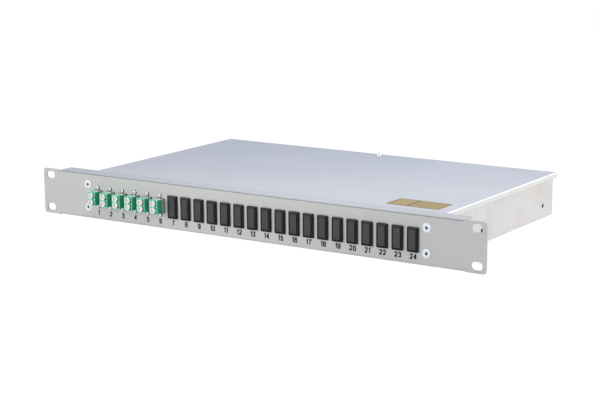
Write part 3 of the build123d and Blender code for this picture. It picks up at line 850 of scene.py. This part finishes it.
# centre lines of the figures on a unit height; a point given twice is a sharp corner
figures = {
    "0": [(0.29, 1.0), (0.02, 1.0), (0.02, 0.5), (0.02, 0.0), (0.29, 0.0), (0.56, 0.0), (0.56, 0.5), (0.56, 1.0),
          (0.28, 1.0)],
    "1": [(0.0, 0.76), (0.14, 0.80), (0.26, 1.13), (0.26, 1.13), (0.26, -0.13)],
    "2": [(0.03, 0.72), (0.05, 1.0), (0.29, 1.0), (0.56, 1.0), (0.55, 0.66), (0.5, 0.45), (0.12, 0.2), (0.02, 0.0),
          (0.02, 0.0), (0.57, 0.0)],
    "3": [(0.03, 0.76), (0.06, 1.0), (0.28, 1.0), (0.53, 1.0), (0.53, 0.76), (0.5, 0.53), (0.24, 0.54), (0.24, 0.54),
          (0.56, 0.54), (0.57, 0.27), (0.55, 0.0), (0.28, 0.0), (0.05, 0.0), (0.01, 0.26)],
    "4": [(0.44, -0.13), (0.44, 1.1), (0.44, 1.1), (0.0, 0.27), (0.0, 0.27), (0.58, 0.27)],
    "5": [(0.53, 1.0), (0.13, 1.0), (0.13, 1.0), (0.06, 0.5), (0.06, 0.5), (0.18, 0.64), (0.36, 0.64), (0.57, 0.6),
          (0.57, 0.32), (0.56, 0.0), (0.28, 0.0), (0.05, 0.0), (0.01, 0.24)],
    "6": [(0.54, 0.77), (0.5, 1.0), (0.31, 1.0), (0.02, 1.0), (0.02, 0.46), (0.02, 0.0), (0.3, 0.0), (0.57, 0.0),
          (0.57, 0.31), (0.56, 0.6), (0.32, 0.6), (0.1, 0.6), (0.04, 0.38)],
    "7": [(0.02, 1.0), (0.57, 1.0), (0.57, 1.0), (0.24, 0.62), (0.2, -0.13)],
    "8": [(0.29, 0.54), (0.05, 0.55), (0.05, 0.78), (0.05, 1.0), (0.29, 1.0), (0.53, 1.0), (0.53, 0.78), (0.53, 0.55),
          (0.29, 0.54), (0.02, 0.53), (0.01, 0.27), (0.01, 0.0), (0.29, 0.0), (0.57, 0.0), (0.57, 0.27), (0.56, 0.53),
          (0.29, 0.54)],
    "9": [(0.04, 0.23), (0.08, 0.0), (0.27, 0.0), (0.56, 0.0), (0.56, 0.54), (0.56, 1.0), (0.28, 1.0), (0.01, 1.0),
          (0.01, 0.69), (0.02, 0.4), (0.26, 0.4), (0.48, 0.4), (0.54, 0.62)],
}


def figure(text, left):
    # one figure as a flat, even stroke on the panel's face; it starts at left
    s = numberRow
    deselectAll()
    tall = s["height"] - s["stroke"]
    line = bpy.data.curves.new("figure", "CURVE")
    line.dimensions = "3D"
    line.bevel_depth = s["stroke"] / 2
    line.bevel_resolution = 3
    line.use_fill_caps = True
    spline = line.splines.new("NURBS")
    spline.points.add(len(figures[text]) - 1)
    for point, (x, z) in zip(spline.points, figures[text]):
        point.co = (x * tall, 0.0, z * tall, 1.0)
    spline.order_u = 3
    spline.use_endpoint_u = True
    spline.resolution_u = 6
    made = bpy.data.objects.new("figure", line)
    bpy.context.scene.collection.objects.link(made)
    makeActive(made)
    bpy.ops.object.convert(target="MESH")
    flat = Matrix.Diagonal((1, s["thick"] / s["stroke"], 1, 1))
    start = (left, panelFace - s["thick"] / 2, s["base"] + s["stroke"] / 2)
    made.data.transform(Matrix.Translation(start) @ flat)
    return made


def portNumber(text, x):
    tall = numberRow["height"] - numberRow["stroke"]
    parts = []
    end = 0.0
    for character in text:
        parts.append(figure(character, end))
        end += max(point[0] for point in figures[character]) * tall + numberRow["gap"]
    number = joined("number", parts)
    deselectAll()
    number.data.transform(Matrix.Translation((x - (end - numberRow["gap"]) / 2, 0, 0)))
    return number


numbers = joined("port_numbers", [portNumber(str(n + 1), x) for n, x in enumerate(portX)])
dress(numbers, "ink")
give(numbers, "box", "panel_paint")
print("numbers printed")

labelPrint = {
    "margin": 1.4 * mm,
    "line": 0.5 * mm,
    "divider": 0.38,
    "dividerWidth": 1.6 * mm,
    "rows": 3,
    "thick": 0.03 * mm,
}


def strip(name, low, high, top):
    # a flat printed bar, lying on the film
    bar = block(name, (low[0], low[1], top), (high[0], high[1], top + labelPrint["thick"]))
    soften(bar, 0)
    return bar


def labelMarks():
    s = labelPrint
    low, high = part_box("cover_label")
    left, right = low.x + s["margin"], high.x - s["margin"]
    near, far = low.y + s["margin"], high.y - s["margin"]
    split = left + s["divider"] * (right - left)
    marks = [
        strip("mark", (left, near), (right, near + s["line"]), high.z),
        strip("mark", (left, far - s["line"]), (right, far), high.z),
        strip("mark", (left, near), (left + s["line"], far), high.z),
        strip("mark", (right - s["line"], near), (right, far), high.z),
        strip("mark", (split, near), (split + s["dividerWidth"], far), high.z),
    ]
    for row in range(s["rows"]):
        y = near + (row + 1) * (far - near) / (s["rows"] + 1)
        start, end = split + 3 * s["margin"], right - 2 * s["margin"]
        marks.append(strip("mark", (start, y), (end, y + s["line"]), high.z))
    return joined("label_lines", marks)


ruled = labelMarks()
dress(ruled, "labelInk")
give(ruled, "cover", "label")
print("label ruled")

glandNut = {
    "hexSpan": 12.0 * mm,
    "hexLength": 6.5 * mm,
    "domeRadius": 11.5 * mm,
    "domeCrown": 3.2 * mm,
    "crownShare": 0.35,
    "overlap": 0.5 * mm,
    "rim": 0.9 * mm,
    "mouth": 6.0 * mm,
    "mouthDepth": 3.5 * mm,
    "ribs": 24,
    "ribWidth": 0.35 * mm,
    "soft": 0.35 * mm,
}


def domeNut(side):
    # a hexagon that carries a ribbed dome with the cable's mouth
    s = glandNut
    low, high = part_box("gland_nut_" + side)
    x, z = (low.x + high.x) / 2, (low.z + high.z) / 2
    start, end = low.y, high.y
    hexagon = rod("hexagon", s["hexSpan"] / math.cos(math.radians(30)), start, start + s["hexLength"], x, z, 6)
    makeActive(hexagon)
    turned = Matrix.Rotation(math.radians(30), 4, "Y")
    hexagon.data.transform(Matrix.Translation((x, 0, z)) @ turned @ Matrix.Translation((-x, 0, -z)))
    soften(hexagon, s["soft"])
    dome = rod("dome", s["domeRadius"], start + s["hexLength"] - s["overlap"], end, x, z, 2 * s["ribs"])
    angles = {}
    for face in dome.data.polygons:
        around = math.atan2(face.center.z - z, face.center.x - x) % (2 * math.pi)
        angles[face.index] = int(around / (math.pi / s["ribs"]))
    ribbed = [index for index, step in angles.items() if step % 2 == 0]
    centres = [dome.data.polygons[i].center.copy() for i in ribbed]
    pickFaces(dome, lambda c, n: abs(n.y) < 0.1 and any((c - place).length < 0.01 * mm for place in centres))
    bpy.ops.mesh.inset(thickness=s["ribWidth"], use_individual=True, depth=-s["ribWidth"])
    pickFaces(dome, lambda c, n: n.y > 0.9)
    inset(s["domeCrown"] * s["crownShare"])
    inset(s["domeRadius"] - s["domeCrown"] * s["crownShare"] - s["mouth"])
    push(y=-s["mouthDepth"])
    roundRim(dome, end, s["rim"], 3)
    soften(dome, 0)
    nut = joined("dome_nut_" + side, [hexagon, dome])
    dress(nut, "gland")
    return nut


for side in ("left", "right"):
    give(domeNut(side), "gland_nut_" + side, "black_plastic", "gland_nut_" + side)
print("gland nuts placed")

entryPlug = {
    "radius": 12.5 * mm,
    "flange": 2.0 * mm,
    "neck": 10.1 * mm,
    "dish": 3.0 * mm,
    "dishDepth": 0.8 * mm,
    "ring": 2.2 * mm,
    "innerRound": 0.5 * mm,
    "outerRound": 0.4 * mm,
}


def rubberPlug(x):
    # a dished disc outside the wall, a neck through it and a flange inside
    s = entryPlug
    low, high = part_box("entry_plugs")
    plug = rod("rubber", s["radius"], high.y - s["flange"], high.y, x)
    pickFaces(plug, lambda c, n: n.y > 0.9)
    inset(s["dish"])
    push(y=-s["dishDepth"])
    inset(s["ring"])
    push(y=0.6 * s["dishDepth"])
    pickFaces(plug, lambda c, n: n.y < -0.9 and c.y < high.y - 0.9 * s["flange"])
    inset(s["radius"] - s["neck"])
    push(y=-(high.y - low.y - 2 * s["flange"]))
    inset(0.01 * mm)
    spread(s["radius"] / s["neck"], 1, s["radius"] / s["neck"], (x, 0, 0))
    push(y=-s["flange"])
    roundRim(plug, low.y, s["innerRound"], 3)
    roundRim(plug, high.y, s["outerRound"], 3)
    dress(plug, "rubber")
    soften(plug, 0)
    return plug


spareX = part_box("entry_plugs")[1].x - entryPlug["radius"]
give(joined("blank_entries", [rubberPlug(-spareX), rubberPlug(spareX)]), "box", "rubber", "entry_plugs")
print("blank entries placed")

studio = {
    "floorSize": 14.0,
    "floorWhite": 0.86,
    "floorGlow": 1.12,
    "ambient": 0.32,
}
lamps = {
    "panelLamp": {"place": (-1.0, -1.4, 0.45), "size": 1.0, "power": 15.5, "colour": (1.0, 0.99, 0.97)},
    "fillLamp": {"place": (0.15, -1.6, 0.4), "size": 1.0, "power": 3.5, "colour": (1.0, 1.0, 1.0)},
    "sideLamp": {"place": (1.4, 0.3, 0.15), "size": 0.9, "power": 13.0, "colour": (1.0, 0.965, 0.92)},
    "coverLamp": {"place": (0.22, -0.03, 0.64), "size": 0.4, "power": 1.6, "colour": (0.86, 0.94, 1.08)},
    "rearLamp": {"place": (0.3, 1.5, 0.9), "size": 0.9, "power": 6.0, "colour": (0.95, 0.98, 1.03)},
}


def floorFinish():
    m = Finish("floorWhite")
    cloud = m.noise(3.0, 2.0, 0.5)
    glow = m.node("ShaderNodeEmission", {}, {"Color": (1, 1, 1), "Strength": studio["floorGlow"]})
    m.set(Base_Color=m.mix(cloud, (0.90, 0.90, 0.90), (0.94, 0.94, 0.94)), Roughness=0.9, Specular_IOR_Level=0.1)
    body = Socket(m, m.shader.outputs[0])
    both = m.node("ShaderNodeMixShader", {}, {0: m.raysSeen() * studio["floorWhite"], 1: body, 2: glow})
    m.tree.links.new(both.output, m.tree.nodes["Material Output"].inputs[0])
    return m.data


def studioWorld():
    w = Finish("studioWorld", world=True)
    w.set(Color=(1, 1, 1), Strength=w.raysSeen() * (1 - studio["ambient"]) + studio["ambient"])
    bpy.context.scene.world = w.data


def areaLamp(name, place, size, power, colour):
    data = bpy.data.lights.new(name, "AREA")
    data.size = size
    data.energy = power
    data.color = colour
    lamp = bpy.data.objects.new(name, data)
    bpy.context.scene.collection.objects.link(lamp)
    lamp.location = place
    lamp.rotation_euler = (Vector((0, 0.1, 0)) - Vector(place)).to_track_quat("-Z", "Y").to_euler()


deselectAll()
bpy.ops.mesh.primitive_plane_add(size=studio["floorSize"], location=(0, 0, cadBox[0].z))
floor = bpy.context.object
floor.name = "floor"
applyPlace()
floor.data.materials.append(floorFinish())
studioWorld()
for name, lamp in lamps.items():
    areaLamp(name, **lamp)

camera = {
    "place": (0.8267, -1.1617, 0.3057),
    "azimuth": 33.51,
    "elevation": 11.758,
    "roll": -0.461,
    "lens": 97.22,
    "sensor": 36.0,
    "clipStart": 0.05,
    "clipEnd": 50.0,
}
lensData = bpy.data.cameras.new("camera")
lensData.lens = camera["lens"]
lensData.sensor_width = camera["sensor"]
lensData.clip_start = camera["clipStart"]
lensData.clip_end = camera["clipEnd"]
eye = bpy.data.objects.new("camera", lensData)
bpy.context.scene.collection.objects.link(eye)
eye.matrix_world = (
    Matrix.Translation(camera["place"])
    @ Matrix.Rotation(math.radians(camera["azimuth"]), 4, "Z")
    @ Matrix.Rotation(math.radians(90 - camera["elevation"]), 4, "X")
    @ Matrix.Rotation(math.radians(camera["roll"]), 4, "Z")
)
bpy.context.scene.camera = eye
bpy.context.scene.view_settings.view_transform = "Standard"
print("studio ready")
